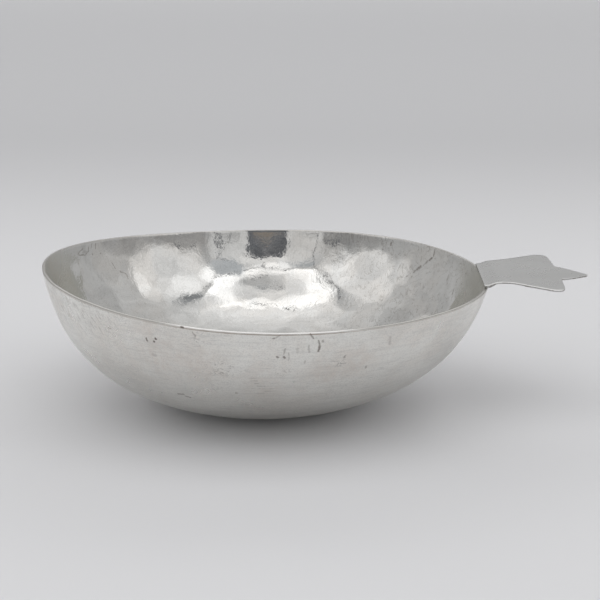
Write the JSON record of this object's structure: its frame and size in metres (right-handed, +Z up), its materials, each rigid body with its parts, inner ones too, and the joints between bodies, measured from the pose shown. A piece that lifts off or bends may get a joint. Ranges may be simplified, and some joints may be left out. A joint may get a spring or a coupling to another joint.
{
  "type": "handled bowl",
  "caption": "Shallow round hand-raised metal bowl with a wavy rim, a small flat foot spot and one flat star-pointed handle soldered at the rim.",
  "frame": {"origin": "middle of the flat foot spot, on the surface that the bowl stands on", "axes": "+X out along the handle, +Z up through the mouth, +Y across"},
  "size_m": [0.1859, 0.152, 0.0493],
  "materials": {
    "bowl_metal": "silver-white plate on hand-hammered copper, satin outside and brighter inside",
    "handle_metal": "silver-white plate on sheet copper, finely brushed along its length",
    "solder": "dull grey-white solder, filed smooth"
  },
  "bodies": {
    "root": {"bowl_shell": "bowl_metal", "handle_tab": "handle_metal", "solder_fillet": "solder"}
  },
  "joints": []
}
